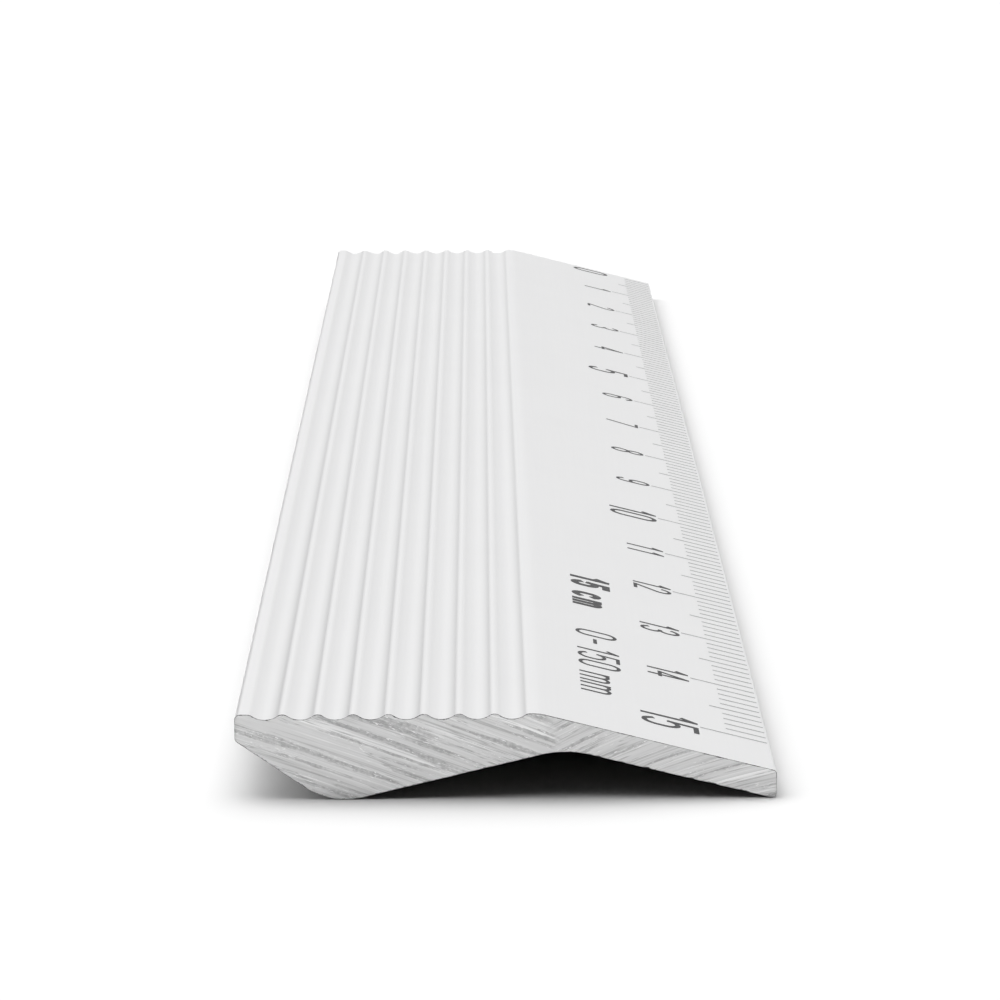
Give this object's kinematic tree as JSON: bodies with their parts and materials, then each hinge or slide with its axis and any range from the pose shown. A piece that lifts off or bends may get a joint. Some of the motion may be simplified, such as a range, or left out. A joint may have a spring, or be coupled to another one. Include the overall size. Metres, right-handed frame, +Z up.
{
  "type": "ruler",
  "caption": "Straight aluminium measuring and cutting ruler with a grooved grip, an arched underside, and a printed centimetre and millimetre scale on a sloping face.",
  "frame": {"origin": "on the table, under the centre of the ruler's bounding box", "axes": "+X across the ruler towards the scale edge, +Y along the ruler towards the zero end, +Z up from the table"},
  "size_m": [0.025, 0.155, 0.0041],
  "materials": {
    "anodised_aluminium": "satin clear-anodised, finely brushed along the length, with raw saw-cut ends",
    "line_ink": "thin printed dark grey ink, matt",
    "figure_ink": "thin printed black ink, matt"
  },
  "bodies": {
    "root": {"ruler_body": "anodised_aluminium", "millimetre_lines": "line_ink", "half_centimetre_lines": "line_ink", "centimetre_lines": "line_ink", "numeral_0": "figure_ink", "numeral_1": "figure_ink", "numeral_2": "figure_ink", "numeral_3": "figure_ink", "numeral_4": "figure_ink", "numeral_5": "figure_ink", "numeral_6": "figure_ink", "numeral_7": "figure_ink", "numeral_8": "figure_ink", "numeral_9": "figure_ink", "numeral_10": "figure_ink", "numeral_11": "figure_ink", "numeral_12": "figure_ink", "numeral_13": "figure_ink", "numeral_14": "figure_ink", "numeral_15": "figure_ink", "length_mark": "figure_ink", "range_mark": "figure_ink"}
  },
  "joints": []
}
